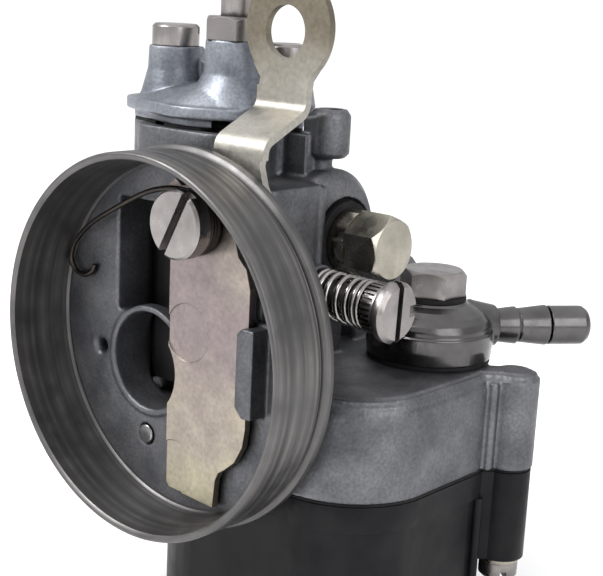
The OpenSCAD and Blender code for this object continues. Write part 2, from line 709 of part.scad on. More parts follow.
module idle_speed_screw() {
  color("#c3c5c8") on_idle_axis() difference() {
    union() {
      translate([0, 0, -16]) cylinder(r = idle_r, h = 16 + idle_head_start + 0.1);
      translate([0, 0, -18.6]) cylinder(r1 = 0.9, r2 = idle_r, h = 2.61);
      translate([0, 0, idle_head_start]) cylinder(r = idle_head_r, h = idle_head_end - idle_head_start - 2.5);
      translate([0, 0, idle_head_end - 2.6]) cylinder(r1 = idle_head_r - 0.3, r2 = idle_cap_r, h = 0.8);
      translate([0, 0, idle_head_end - 1.81]) cylinder(r = idle_cap_r, h = 1.11);
      translate([0, 0, idle_head_end - 0.71]) cylinder(r1 = idle_cap_r, r2 = idle_cap_r - 0.7, h = 0.71);
    }
    for (a = [0 : 12 : 348]) rotate(a)
      translate([idle_head_r - 0.35, -0.2, idle_head_start - cut]) cube([1, 0.4, cut + 2]);
    translate([-6, -0.6, idle_head_end - 2]) cube([12, 1.2, 3]);
    translate([-0.9, 2.6, idle_head_end - 2]) cube([1.8, 3, 3]);
  }
}

module idle_screw_spring() {
  color("#b9bbbe") on_idle_axis() translate([0, 0, 0.55])
    wire(helix(3.6, idle_head_start - 1.1, 7, 20), 0.5, [0, 0, 1]);
}

// ---- Side plug ----

module side_plug() {
  color("#cfcab8") translate([0, plug_y, plug_z]) rotate([0, 90, 0]) {
    translate([0, 0, plug_face_x - 8]) cylinder(r = 4, h = 8);
    translate([0, 0, plug_face_x + 0.6]) cylinder(r = 5.4, h = 3.4);
    translate([0, 0, plug_face_x - 0.1]) cylinder(r = 4, h = 1);
    translate([0, 0, plug_face_x + 4 - 0.01]) hex_head(plug_af, 6.6, 5);
  }
}

module side_plug_washer() {
  color("#2c2b2b") difference() {
    bar_x(plug_y, plug_z, 6.6, plug_face_x - 0.8, plug_face_x + 0.6);
    bar_x(plug_y, plug_z, 4 + gap, plug_face_x - 2, plug_face_x + 2);
  }
}

// ---- Metering parts ----

module atomizer() {
  color("#b8923f") difference() {
    bar_z([bore_x, jet_y], 2.45, jet_post_z + 6, bore_z - bore_r - 0.1);
    bar_z([bore_x, jet_y], 1.3, jet_post_z, bore_z);
    for (z = [-22 : 2.4 : -16]) bar_x(jet_y, z, 0.4, bore_x - 4, bore_x + 4);
  }
}

// Jet along -Z with a slotted hexagonal head
module jet(thread_r, length, flats, bore) {
  difference() {
    union() {
      translate([0, 0, -0.5]) cylinder(r = thread_r, h = length + 0.5);
      translate([0, 0, -2.4]) hex_bar(flats, 2.4);
    }
    translate([0, 0, -3]) cylinder(r = bore, h = length + 4);
    translate([-5, -0.4, -3]) cube([10, 0.8, 1.6]);
  }
}

module main_jet() {
  color("#c09a45") translate([bore_x, jet_y, jet_post_z]) jet(2.45, 5.5, 6, 0.5);
}

module idle_jet() {
  color("#c09a45") translate([idle_jet_x, jet_y, -27]) jet(2.05, 9, 5, 0.4);
}

// ---- Float, needle and seat ----

module valve_seat() {
  color("#b8923f") difference() {
    bar_z([valve_x, valve_y], valve_seat_r, -15.5, -10.5);
    bar_z([valve_x, valve_y], needle_r + 0.15, -16, -12);
    bar_z([valve_x, valve_y], 1, -13, -10);
  }
}

module float_needle() {
  color("#b7a36a") {
    bar_z([valve_x, valve_y], needle_r, -17.6, -13.2);
    translate([valve_x, valve_y, -13.21]) cylinder(r1 = needle_r, r2 = 0.4, h = 1.15);
  }
}

// Two plastic pontoons on a hinged arm; the arm's tab lifts the needle
module float() {
  color("#1f1f21") difference() {
    union() {
      round_block(8, 29.5, 23, 40, -41, -26, 6);
      for (x = [valve_x - 4.2, valve_x + 2]) {
        box([x, 37, -29], [x + 2.2, pin_y + 0.2, -26.6]);
        box([x, pin_y - 2.4, -28], [x + 2.2, pin_y + 0.2, pin_z + 1.9]);
        box([x, pin_y - 2.4, -20], [x + 2.2, pin_y + 1.8, pin_z + 1.9]);
      }
      box([valve_x - 4.2, valve_y - 2.4, -20.2], [valve_x + 4.2, pin_y + 1, -18.1]);
    }
    bar_x(pin_y, pin_z, pin_r + 0.06, valve_x - 7, valve_x + 7);
  }
}

module float_pin() {
  color("#c2c4c8") bar_x(pin_y, pin_z, pin_r, valve_x - 8.3, valve_x + 8.3);
}

// ---- Fuel inlet ----

module fuel_banjo() {
  color("#b3b7be") difference() {
    union() {
      translate([inlet_x, inlet_y, 0]) rotate_extrude() polygon([
        [0, lid_top_z + washer_t], [inlet_base_r - 0.2, lid_top_z + washer_t], [inlet_base_r, -2],
        [inlet_base_r - 0.1, inlet_z - 0.1], [inlet_base_r - 0.4, inlet_z + 0.1], [10.5, 1.5], [10, 2.5],
        [9.1, 3.5], [7.8, 4.3], [6.2, inlet_top_z - 0.4], [5.9, inlet_top_z], [0, inlet_top_z]
      ]);
      translate([inlet_x, inlet_y, inlet_z]) rotate([0, 0, barb_angle]) rotate([0, 90, 0]) {
        translate([0, 0, 7]) cylinder(r1 = 4.6, r2 = 3.6, h = 4.6);
        translate([0, 0, 11]) cylinder(r = 2.8, h = 14);
        // two barbs, then the straight tip
        translate([0, 0, 11.5]) cylinder(r1 = 2.9, r2 = 3.35, h = 3.9);
        translate([0, 0, 15.8]) cylinder(r1 = 3, r2 = 3.6, h = 5.2);
        translate([0, 0, barb_start]) cylinder(r = barb_r, h = barb_length);
        translate([0, 0, barb_end]) cylinder(r1 = barb_r, r2 = barb_r - 0.5, h = 0.81);
        translate([0, 0, barb_end + 0.8]) cylinder(r1 = barb_r - 0.5, r2 = barb_r - 1.3, h = 0.5);
      }
    }
    translate([inlet_x, inlet_y, lid_top_z]) cylinder(r = bolt_r + 0.3, h = 12);
    translate([inlet_x, inlet_y, -2.6]) cylinder(r = 6.6, h = 4.4);
    translate([inlet_x, inlet_y, inlet_z]) rotate([0, 0, barb_angle]) rotate([0, 90, 0]) cylinder(r = 1.6, h = 34);
  }
}

module banjo_bolt() {
  head_z = inlet_top_z + washer_t;
  color("#c2c4c6") translate([inlet_x, inlet_y, 0]) difference() {
    union() {
      translate([0, 0, -8.6]) cylinder(r = bolt_r, h = head_z + 8.7);
      translate([0, 0, head_z]) hex_head(bolt_af, 4.4, 26);
    }
    translate([0, 0, -9]) cylinder(r = 1.4, h = 10.5);
    translate([-5, 0, inlet_z]) rotate([0, 90, 0]) cylinder(r = 1, h = 10);
  }
}

module banjo_washers() {
  color("#26262a") difference() {
    bar_z([inlet_x, inlet_y], inlet_base_r - 0.3, lid_top_z, lid_top_z + washer_t);
    bar_z([inlet_x, inlet_y], bolt_r + 0.3, lid_top_z - cut, lid_top_z + 3);
  }
  color("#9b9da1") difference() {
    bar_z([inlet_x, inlet_y], 5.9, inlet_top_z, inlet_top_z + washer_t);
    bar_z([inlet_x, inlet_y], bolt_r + 0.3, inlet_top_z - cut, inlet_top_z + 3);
  }
}

module fuel_filter() {
  color("#d8d4c4") difference() {
    bar_z([inlet_x, inlet_y], 5.6, -2.5, 1.7);
    bar_z([inlet_x, inlet_y], 4.6, -4, 3);
  }
}

// ---- Bowl ----

module float_bowl() {
  top = joint_z - gasket_t;
  color("#26272a") difference() {
    union() {
      chamber_block(0, top - bowl_rim_h, top);
      chamber_block(0.5, bowl_bottom_z + 1.5, top - bowl_rim_h + 0.1);
      chamber_block(2, bowl_bottom_z, bowl_bottom_z + 1.6);
      ear_column(ear_right, ear_root_right, ear_r - 0.2, ear_bottom_z, top);
      ear_column(ear_left, ear_root_left, ear_r - 0.2, ear_bottom_z, top);
      bar_z([35.5, 48.2], 0.8, bowl_bottom_z + 2, top - bowl_rim_h);
    }
    chamber_block(2.9, bowl_bottom_z + 2.4, top + cut);
    for (ear = [ear_right, ear_left]) bar_z(ear, bowl_screw_r + 0.3, ear_bottom_z - cut, top + cut);
  }
}

module bowl_gasket() {
  color("#1b1b1c") difference() {
    union() {
      chamber_block(0.15, joint_z - gasket_t, joint_z);
      ear_column(ear_right, ear_root_right, ear_r - 0.4, joint_z - gasket_t, joint_z);
      ear_column(ear_left, ear_root_left, ear_r - 0.4, joint_z - gasket_t, joint_z);
    }
    chamber_block(2.6, joint_z - 2, joint_z + 2);
    for (ear = [ear_right, ear_left]) bar_z(ear, bowl_screw_r + 0.3, joint_z - 2, joint_z + 2);
  }
}

module bowl_screws() {
  color("#c9ccc9") for (ear = [ear_right, ear_left])
    translate([ear.x, ear.y, ear_bottom_z - 1]) rotate([180, 0, 0]) cheese_screw(3.4, 3, bowl_screw_r, 24, 40);
}

module bowl_screw_washers() {
  color("#c9c3a0") for (ear = [ear_right, ear_left]) difference() {
    bar_z(ear, 3.5, ear_bottom_z - 1, ear_bottom_z);
    bar_z(ear, bowl_screw_r + 0.2, ear_bottom_z - 2, ear_bottom_z + 1);
  }
}

// ---- Engine clamp screw ----

module clamp_screw() {
  color("#c3c5c8") translate([ear_clamp_x, clamp_screw_y, bore_z + clamp_ear_h])
    cheese_screw(5, 4, clamp_screw_r, 2 * clamp_ear_h + 1, 20);
}

module clamp_nut() {
  color("#c3c5c8") translate([ear_clamp_x, clamp_screw_y, bore_z - clamp_ear_h - 2]) difference() {
    hex_bar(10, 4.9, 30);
    translate([0, 0, -cut]) cylinder(r = clamp_screw_r + gap, h = 8);
  }
}

body();
passage_plug();
chamber_cap();
cap_gasket();
cap_screws();
cable_adjuster();
adjuster_lock_nut();
throttle_slide();
throttle_spring();
choke_plate();
choke_lever();
choke_pivot_screw();
choke_spring();
idle_speed_screw();
idle_screw_spring();
side_plug();
side_plug_washer();
main_jet();
idle_jet();
atomizer();
valve_seat();
float_needle();
float();
float_pin();
fuel_banjo();
banjo_bolt();
banjo_washers();
fuel_filter();
float_bowl();
bowl_gasket();
bowl_screws();
bowl_screw_washers();
clamp_screw();
clamp_nut();
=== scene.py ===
"""Looks for a side-draught slide carburetor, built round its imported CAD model."""

import math

import bmesh
import bpy
from mathutils import Matrix, Vector


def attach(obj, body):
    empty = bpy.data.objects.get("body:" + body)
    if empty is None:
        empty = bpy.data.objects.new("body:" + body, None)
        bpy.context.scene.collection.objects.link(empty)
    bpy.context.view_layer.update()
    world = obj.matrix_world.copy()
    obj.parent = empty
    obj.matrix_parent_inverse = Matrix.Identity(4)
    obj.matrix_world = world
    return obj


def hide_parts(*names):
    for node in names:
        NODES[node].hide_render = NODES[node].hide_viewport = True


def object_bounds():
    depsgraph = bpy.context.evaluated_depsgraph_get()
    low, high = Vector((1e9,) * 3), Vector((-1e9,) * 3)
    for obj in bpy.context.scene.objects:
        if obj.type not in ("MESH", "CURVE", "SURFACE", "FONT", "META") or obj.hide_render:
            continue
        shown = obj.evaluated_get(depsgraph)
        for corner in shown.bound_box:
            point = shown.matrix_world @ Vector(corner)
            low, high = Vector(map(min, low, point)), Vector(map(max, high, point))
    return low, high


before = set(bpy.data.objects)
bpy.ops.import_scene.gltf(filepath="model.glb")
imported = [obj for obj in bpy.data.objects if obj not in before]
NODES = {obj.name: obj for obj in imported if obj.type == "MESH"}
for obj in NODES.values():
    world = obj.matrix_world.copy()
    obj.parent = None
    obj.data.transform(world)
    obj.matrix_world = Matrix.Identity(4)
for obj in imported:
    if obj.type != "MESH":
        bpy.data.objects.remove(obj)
cad_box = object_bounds()

MM = 0.001
ROOT = "carburetor"

# The filter ring: its depths along the air axis and its radii, in millimetres
RING_DEPTH = 13.4
FACE_DEPTH = 11.5
FLANGE_START, FLANGE_END = 10.6, 12.3
MOUTH_R = 29.8
FLOOR_R = 29.2
OUTER_R = 31.0
FLANGE_R = 31.5

# The choke pivot and its coil spring, in millimetres
PIVOT_X, PIVOT_Z = 5.0, 20.3
COIL_R = 4.6
COIL_TURNS = 8
COIL_WIRE_R = 0.3
COIL_BACK, COIL_LENGTH = 9.3, 2.5
COIL_STEPS = 24

# Mesh points closer than this are one point, in metres
SAME_POINT = 0.002 * MM


# ---- Materials ----

def new_material(name, roughness, metallic=1.0):
    """A material with its shader, object coordinates and one output, ready for its texture nodes."""
    material = bpy.data.materials.new(name)
    material.use_nodes = True
    shader = material.node_tree.nodes["Principled BSDF"]
    shader.inputs["Roughness"].default_value = roughness
    shader.inputs["Metallic"].default_value = metallic
    return material, material.node_tree, shader


def object_coordinates(tree):
    return tree.nodes.new("ShaderNodeTexCoord").outputs["Object"]


def noise(tree, scale, detail=4.0, stretch=(1, 1, 1)):
    """Noise in object space with features about 1 / scale metres across."""
    mapping = tree.nodes.new("ShaderNodeMapping")
    mapping.inputs["Scale"].default_value = stretch
    texture = tree.nodes.new("ShaderNodeTexNoise")
    texture.inputs["Scale"].default_value = scale
    texture.inputs["Detail"].default_value = detail
    tree.links.new(object_coordinates(tree), mapping.inputs["Vector"])
    tree.links.new(mapping.outputs["Vector"], texture.inputs["Vector"])
    return texture.outputs["Fac"]


def colour_ramp(tree, factor, stops):
    ramp = tree.nodes.new("ShaderNodeValToRGB")
    elements = ramp.color_ramp.elements
    while len(elements) < len(stops):
        elements.new(0.5)
    for element, (at, colour) in zip(elements, stops):
        element.position = at
        element.color = (*colour, 1)
    tree.links.new(factor, ramp.inputs["Fac"])
    return ramp.outputs["Color"]


def value_range(tree, value, low, high, from_low=0.3, from_high=0.7):
    """Maps a noise value to a number between low and high."""
    node = tree.nodes.new("ShaderNodeMapRange")
    node.inputs["From Min"].default_value = from_low
    node.inputs["From Max"].default_value = from_high
    node.inputs["To Min"].default_value = low
    node.inputs["To Max"].default_value = high
    tree.links.new(value, node.inputs["Value"])
    return node.outputs["Result"]


def mix_colour(tree, factor, a, b, blend="MIX"):
    node = tree.nodes.new("ShaderNodeMix")
    node.data_type = "RGBA"
    node.blend_type = blend
    for value, socket in ((factor, node.inputs[0]), (a, node.inputs[6]), (b, node.inputs[7])):
        if isinstance(value, bpy.types.NodeSocket):
            tree.links.new(value, socket)
        elif isinstance(value, tuple):
            socket.default_value = (*value, 1)
        else:
            socket.default_value = value
    return node.outputs[2]


def maths(tree, operation, a, b=0.0):
    node = tree.nodes.new("ShaderNodeMath")
    node.operation = operation
    for value, socket in ((a, node.inputs[0]), (b, node.inputs[1])):
        if isinstance(value, bpy.types.NodeSocket):
            tree.links.new(value, socket)
        else:
            socket.default_value = value
    return node.outputs[0]


def bump(tree, height, distance, strength=1.0, normal=None):
    node = tree.nodes.new("ShaderNodeBump")
    node.inputs["Distance"].default_value = distance
    node.inputs["Strength"].default_value = strength
    tree.links.new(height, node.inputs["Height"])
    if normal is not None:
        tree.links.new(normal, node.inputs["Normal"])
    return node.outputs["Normal"]


def paint_corner_shade(tree, colour, shade_colour, distance=1.5 * MM, strength=0.85):
    """Painted shade: darkens a colour where surfaces meet, in the corners where shade falls."""
    occlusion = tree.nodes.new("ShaderNodeAmbientOcclusion")
    occlusion.samples = 8
    occlusion.inputs["Distance"].default_value = distance
    amount = value_range(tree, occlusion.outputs["AO"], strength, 0.0, 0.35, 0.85)
    return mix_colour(tree, amount, colour, shade_colour)


def cast_metal(name, dark, light, grain=0.06 * MM, roughness=(0.38, 0.58)):
    """Grainy die casting: cloudy colour, fine sandy bump, and painted shade in its corners."""
    material, tree, shader = new_material(name, 0.5, metallic=0.82)
    clouds = colour_ramp(tree, noise(tree, 90), [(0.34, dark), (0.66, light)])
    specks = value_range(tree, noise(tree, 1900, 2.0), 0.78, 1.14)
    grained = mix_colour(tree, 1.0, clouds, specks, "MULTIPLY")
    # Painted shade in the corners, darkening towards a third of the dark colour.
    tree.links.new(paint_corner_shade(tree, grained, tuple(c * 0.3 for c in dark)), shader.inputs["Base Color"])
    tree.links.new(value_range(tree, noise(tree, 260), *roughness), shader.inputs["Roughness"])
    coarse = bump(tree, noise(tree, 420, 3.0), grain * 1.6, 0.55)
    tree.links.new(bump(tree, noise(tree, 2200, 2.0), grain, 0.8, coarse), shader.inputs["Normal"])
    return material


def turned_metal(name, dark, light, spacing=0.45 * MM):
    """Metal turned on a lathe about the air axis: fine rings in the colour and in the surface."""
    material, tree, shader = new_material(name, 0.3, metallic=0.9)
    axes = tree.nodes.new("ShaderNodeSeparateXYZ")
    tree.links.new(object_coordinates(tree), axes.inputs[0])
    radius = maths(tree, "SQRT", maths(tree, "ADD", maths(tree, "POWER", axes.outputs["X"], 2.0),
                                       maths(tree, "POWER", axes.outputs["Z"], 2.0)))
    along = maths(tree, "ADD", maths(tree, "MULTIPLY", axes.outputs["Y"], 1 / spacing),
                  maths(tree, "MULTIPLY", radius, 1 / spacing))
    bands = tree.nodes.new("ShaderNodeTexNoise")
    bands.noise_dimensions = "1D"
    bands.inputs["Scale"].default_value = 1.0
    tree.links.new(along, bands.inputs["W"])
    rings = colour_ramp(tree, bands.outputs["Fac"], [(0.35, dark), (0.65, light)])
    worn = mix_colour(tree, value_range(tree, noise(tree, 160), 0.1, 0.9), rings, dark)
    # Painted shade in the corners, darkening towards a third of the dark colour.
    tree.links.new(paint_corner_shade(tree, worn, tuple(c * 0.3 for c in dark)), shader.inputs["Base Color"])
    tree.links.new(value_range(tree, noise(tree, 240), 0.34, 0.5), shader.inputs["Roughness"])
    grain = bump(tree, noise(tree, 1500, 2.0), 0.02 * MM, 0.5)
    tree.links.new(bump(tree, bands.outputs["Fac"], 0.04 * MM, 0.5, grain), shader.inputs["Normal"])
    return material


def plated_metal(name, light, tint, roughness=(0.24, 0.4), tint_share=0.7, scale=130):
    """Zinc-plated steel: a warm or cool tint in clouds, soft scratches and a little painted shade in its
    corners.
    """
    material, tree, shader = new_material(name, 0.3)
    clouds = mix_colour(tree, value_range(tree, noise(tree, scale), 0.0, tint_share), light, tint)
    # Painted shade in the corners, darkening towards a quarter of the tint.
    corner_shade_colour = tuple(c * 0.25 for c in tint)
    tree.links.new(paint_corner_shade(tree, clouds, corner_shade_colour, 0.9 * MM), shader.inputs["Base Color"])
    tree.links.new(value_range(tree, noise(tree, 520), *roughness), shader.inputs["Roughness"])
    scratches = noise(tree, 700, 3.0, (1, 0.12, 1))
    tree.links.new(bump(tree, scratches, 0.012 * MM, 0.5), shader.inputs["Normal"])
    return material


def sheet_metal(name, shaded_top_colour, bottom_colour, top_z, bottom_z):
    """Plated sheet whose tint changes slowly from its top to its bottom: the darker top is painted shade."""
    material, tree, shader = new_material(name, 0.42)
    axes = tree.nodes.new("ShaderNodeSeparateXYZ")
    tree.links.new(object_coordinates(tree), axes.inputs[0])
    # Painted shade: the colour darkens from the bottom colour towards the darker top colour, with a wavy
    # border.
    height = value_range(tree, axes.outputs["Z"], 0.0, 1.0, bottom_z, top_z)
    wavy = maths(tree, "ADD", height, value_range(tree, noise(tree, 70), -0.3, 0.3))
    tint = mix_colour(tree, maths(tree, "MINIMUM", maths(tree, "MAXIMUM", wavy, 0.0), 1.0), bottom_colour, shaded_top_colour)
    specks = value_range(tree, noise(tree, 1500, 2.0), 0.86, 1.08)
    speckled = mix_colour(tree, 1.0, tint, specks, "MULTIPLY")
    # Painted shade in the corners, darkening towards a third of the bottom colour.
    corner_shade_colour = tuple(c * 0.3 for c in bottom_colour)
    tree.links.new(paint_corner_shade(tree, speckled, corner_shade_colour, 1.2 * MM), shader.inputs["Base Color"])
    tree.links.new(value_range(tree, noise(tree, 300), 0.36, 0.52), shader.inputs["Roughness"])
    tree.links.new(bump(tree, noise(tree, 1300, 2.0), 0.02 * MM, 0.6), shader.inputs["Normal"])
    return material


def dark_plastic(name, dark, light, roughness=(0.34, 0.5), grain=0.02 * MM):
    """Moulded plastic or fibre with a faint orange-peel surface."""
    material, tree, shader = new_material(name, 0.4, metallic=0.0)
    shader.inputs["Specular IOR Level"].default_value = 0.12
    clouds = colour_ramp(tree, noise(tree, 160), [(0.35, dark), (0.65, light)])
    tree.links.new(clouds, shader.inputs["Base Color"])
    tree.links.new(value_range(tree, noise(tree, 380), *roughness), shader.inputs["Roughness"])
    tree.links.new(bump(tree, noise(tree, 1100, 2.0), grain, 0.6), shader.inputs["Normal"])
    return material


def woven_mesh(name):
    """Fine filter gauze: crossing threads."""
    material, tree, shader = new_material(name, 0.6, metallic=0.0)
    waves = []
    for direction in ("X", "Z"):
        wave = tree.nodes.new("ShaderNodeTexWave")
        wave.bands_direction = direction
        wave.inputs["Scale"].default_value = 600
        tree.links.new(object_coordinates(tree), wave.inputs["Vector"])
        waves.append(wave.outputs["Fac"])
    threads = maths(tree, "MAXIMUM", *waves)
    colour = colour_ramp(tree, threads, [(0.4, (0.12, 0.11, 0.09)), (0.7, (0.62, 0.58, 0.48))])
    tree.links.new(colour, shader.inputs["Base Color"])
    tree.links.new(bump(tree, threads, 0.08 * MM), shader.inputs["Normal"])
    return material


MATERIALS = {
    "casting": cast_metal("casting", (0.070, 0.072, 0.079), (0.148, 0.149, 0.158)),
    "cap_casting": cast_metal("cap_casting", (0.12, 0.13, 0.15), (0.26, 0.275, 0.305), 0.04 * MM),
    "turned": turned_metal("turned", (0.075, 0.073, 0.073), (0.165, 0.158, 0.154), 1.3 * MM),
    "screw": plated_metal("screw", (0.28, 0.262, 0.255), (0.13, 0.12, 0.115)),
    "barb": plated_metal("barb", (0.26, 0.255, 0.255), (0.09, 0.085, 0.085), (0.12, 0.24)),
    "inlet_cover": plated_metal("inlet_cover", (0.12, 0.116, 0.116), (0.045, 0.043, 0.045), (0.16, 0.3)),
    "side_plug": plated_metal("side_plug", (0.42, 0.395, 0.335), (0.17, 0.155, 0.125), (0.2, 0.34)),
    # The choke plate and lever are darker towards their tops: painted shade.
    "choke_plate": sheet_metal("choke_plate", (0.215, 0.18, 0.178), (0.42, 0.385, 0.28), -0.004, -0.024),
    "choke_lever": sheet_metal("choke_lever", (0.165, 0.146, 0.112), (0.36, 0.345, 0.31), 0.05, 0.034),
    # The slide is near-black as painted shade for the dark inside of the air bore.
    "slide": plated_metal("slide", (0.035, 0.035, 0.037), (0.014, 0.014, 0.014), (0.35, 0.5)),
    "steel_spring": plated_metal("steel_spring", (0.34, 0.33, 0.32), (0.12, 0.11, 0.10), (0.14, 0.26)),
    "dark_spring": plated_metal("dark_spring", (0.05, 0.042, 0.037), (0.02, 0.017, 0.015), (0.3, 0.45)),
    "brass": plated_metal("brass", (0.50, 0.34, 0.14), (0.28, 0.18, 0.07), (0.2, 0.36)),
    "gasket": dark_plastic("gasket", (0.006, 0.006, 0.007), (0.014, 0.014, 0.014), (0.55, 0.75)),
    "bowl": dark_plastic("bowl", (0.004, 0.004, 0.005), (0.009, 0.009, 0.010), (0.38, 0.48)),
    "filter": woven_mesh("filter"),
}

# CAD nodes that keep their own mesh: their material and the width of their rounded edges, in millimetres
FINISHES = {
    "passage_plug": ("barb", 0.3),
    "cap_gasket": ("gasket", 0.08),
    "cap_screws": ("screw", 0.25),
    "cable_adjuster": ("screw", 0.15),
    "adjuster_lock_nut": ("screw", 0.3),
    # The slide's near-black material is painted shade for the dark air bore.
    "throttle_slide": ("slide", 0.2),
    "choke_plate": ("choke_plate", 0.25),
    "choke_pivot_screw": ("screw", 0.25),
    "side_plug": ("side_plug", 0.3),
    "side_plug_washer": ("gasket", 0.15),
    "main_jet": ("brass", 0.1),
    "idle_jet": ("brass", 0.1),
    "atomizer": ("brass", 0.1),
    "valve_seat": ("brass", 0.1),
    "float_needle": ("brass", 0.1),
    "float": ("bowl", 0.5),
    "float_pin": ("steel_spring", 0.1),
    "banjo_bolt": ("screw", 0.3),
    "banjo_washers": ("gasket", 0.1),
    "fuel_filter": ("filter", 0.1),
    "float_bowl": ("bowl", 0.4),
    "bowl_gasket": ("gasket", 0.1),
    "bowl_screws": ("screw", 0.25),
    "bowl_screw_washers": ("side_plug", 0.15),
    "clamp_screw": ("screw", 0.3),
    "clamp_nut": ("screw", 0.3),
    "idle_speed_screw": ("screw", 0.12),
}


# ---- Mesh helpers ----

def add_object(name, data):
    obj = bpy.data.objects.new(name, data)
    bpy.context.scene.collection.objects.link(obj)
    return obj


def paint(obj, material):
    obj.data.materials.clear()
    obj.data.materials.append(MATERIALS[material])


def shade_smooth(mesh):
    mesh.polygons.foreach_set("use_smooth", [True] * len(mesh.polygons))


def round_edges(obj, width):
    """Thin rounded edges on a machined part, with clean shading on its flat faces."""
    merge = obj.modifiers.new("merge", "WELD")
    merge.merge_threshold = SAME_POINT
    flat = obj.modifiers.new("flat", "DECIMATE")
    flat.decimate_type = "DISSOLVE"
    flat.angle_limit = math.radians(1)
    bevel = obj.modifiers.new("bevel", "BEVEL")
    bevel.width = width * MM
    bevel.segments = 3
    bevel.limit_method = "ANGLE"
    bevel.angle_limit = math.radians(32)
    bevel.harden_normals = True
    bevel.use_clamp_overlap = True


def copy_of(node, name):
    """A new object with a copy of a CAD node's mesh, at the same place."""
    obj = add_object(name, NODES[node].data.copy())
    if "custom_normal" in obj.data.attributes:
        obj.data.attributes.remove(obj.data.attributes["custom_normal"])
    return obj


def bake_modifiers(obj):
    """Replaces an object's mesh by what its modifiers make of it."""
    graph = bpy.context.evaluated_depsgraph_get()
    baked = bpy.data.meshes.new_from_object(obj.evaluated_get(graph))
    obj.modifiers.clear()
    obj.data = baked
    return obj


def finish_piece(obj, body, material):
    paint(obj, material)
    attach(obj, body)
    return obj


def mesh_object(name, bm):
    mesh = bpy.data.meshes.new(name)
    bmesh.ops.recalc_face_normals(bm, faces=bm.faces)
    bm.to_mesh(mesh)
    bm.free()
    return add_object(name, mesh)


def lathe(bm, outline, axis_at, steps=96):
    """Turns a closed outline of (radius, distance along +Y) points, in millimetres, about a +Y axis."""
    rings = []
    for k in range(steps):
        angle = 2 * math.pi * k / steps
        cos, sin = math.cos(angle), math.sin(angle)
        rings.append([
            bm.verts.new(((axis_at[0] + r * cos) * MM, y * MM, (axis_at[1] + r * sin) * MM)) for r, y in outline
        ])
    count = len(outline)
    for k in range(steps):
        a, b = rings[k], rings[(k + 1) % steps]
        for i in range(count):
            j = (i + 1) % count
            bm.faces.new((a[i], b[i], b[j], a[j]))


def cut_away(obj, bm_cutter):
    """Takes a closed cutter mesh away from an object."""
    cutter = mesh_object("cutter", bm_cutter)
    cut = obj.modifiers.new("cut", "BOOLEAN")
    cut.operation = "DIFFERENCE"
    cut.solver = "EXACT"
    cut.object = cutter
    bake_modifiers(obj)
    bpy.data.objects.remove(cutter)


def cast_skin(obj, cell, rounds):
    """Gives a casting its soft fillets: an even skin over the CAD shape, then smoothed."""
    weld = obj.modifiers.new("weld", "WELD")
    weld.merge_threshold = SAME_POINT
    skin = obj.modifiers.new("skin", "REMESH")
    skin.mode = "VOXEL"
    skin.voxel_size = cell * MM
    skin.use_smooth_shade = True
    ease = obj.modifiers.new("ease", "SMOOTH")
    ease.factor = 0.5
    ease.iterations = rounds
    bake_modifiers(obj)
    shade_smooth(obj.data)


# ---- Castings ----

def add_body():
    """The body casting without its filter ring's wall, which is turned and has crisp edges."""
    casting = copy_of("body", "body_casting")
    ring = bmesh.new()
    outer = FLANGE_R + 2
    lathe(ring, [(FLOOR_R, -2), (outer, -2), (outer, RING_DEPTH), (FLOOR_R, RING_DEPTH)], (0, 0), 128)
    cut_away(casting, ring)
    cast_skin(casting, 0.3, 3)
    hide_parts("body")
    return finish_piece(casting, ROOT, "casting")


def add_filter_ring():
    """The filter ring's wall: smooth inside, shallow turned grooves outside, and a flange at its back."""
    lap = 0.6
    inside = [
        (MOUTH_R + 0.35, 0.1), (MOUTH_R, 0.45),
        (FLOOR_R + 0.05, FACE_DEPTH - 0.5), (FLOOR_R, FACE_DEPTH - 0.35),
        (FLOOR_R - 0.35, FACE_DEPTH - 0.05), (FLOOR_R - lap, FACE_DEPTH - 0.04),
    ]
    back = [
        (FLOOR_R - lap, RING_DEPTH), (FLOOR_R, RING_DEPTH), (FLOOR_R + 0.4, FLANGE_END),
        (FLANGE_R - 0.25, FLANGE_END), (FLANGE_R, FLANGE_END - 0.25),
    ]
    neck = [
        (FLANGE_R, FLANGE_START + 0.25), (FLANGE_R - 0.2, FLANGE_START),
        (OUTER_R - 0.5, FLANGE_START - 0.3), (OUTER_R - 0.6, FLANGE_START - 0.5),
        (OUTER_R - 0.6, FLANGE_START - 1.0), (OUTER_R - 0.05, FLANGE_START - 1.35),
    ]
    grooves = []
    for depth in (8.1, 6.8, 5.4, 3.9):
        grooves += [(OUTER_R, depth + 0.45), (OUTER_R - 0.1, depth), (OUTER_R, depth - 0.45)]
    rim = [(OUTER_R, 0.5), (OUTER_R - 0.12, 0.2), (OUTER_R - 0.4, 0.02), (MOUTH_R + 0.7, 0.02)]
    bm = bmesh.new()
    lathe(bm, inside + back + neck + grooves + rim, (0, 0), 192)
    ring = mesh_object("filter_ring", bm)
    shade_smooth(ring.data)
    ring.data.set_sharp_from_angle(angle=math.radians(38))
    return finish_piece(ring, ROOT, "turned")


def add_soft_casting(node, name, material, cell, rounds):
    piece = copy_of(node, name)
    cast_skin(piece, cell, rounds)
    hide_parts(node)
    return finish_piece(piece, ROOT, material)


# ---- Sheet metal and springs, with smooth bends ----

def smooth_copy(node, name, sharp_angle):
    """A copy of a CAD node whose curved faces shade smoothly, up to edges sharper than an angle."""
    obj = copy_of(node, name)
    bm = bmesh.new()
    bm.from_mesh(obj.data)
    bmesh.ops.remove_doubles(bm, verts=bm.verts, dist=SAME_POINT)
    bm.to_mesh(obj.data)
    bm.free()
    shade_smooth(obj.data)
    obj.data.set_sharp_from_angle(angle=math.radians(sharp_angle))
    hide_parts(node)
    return obj


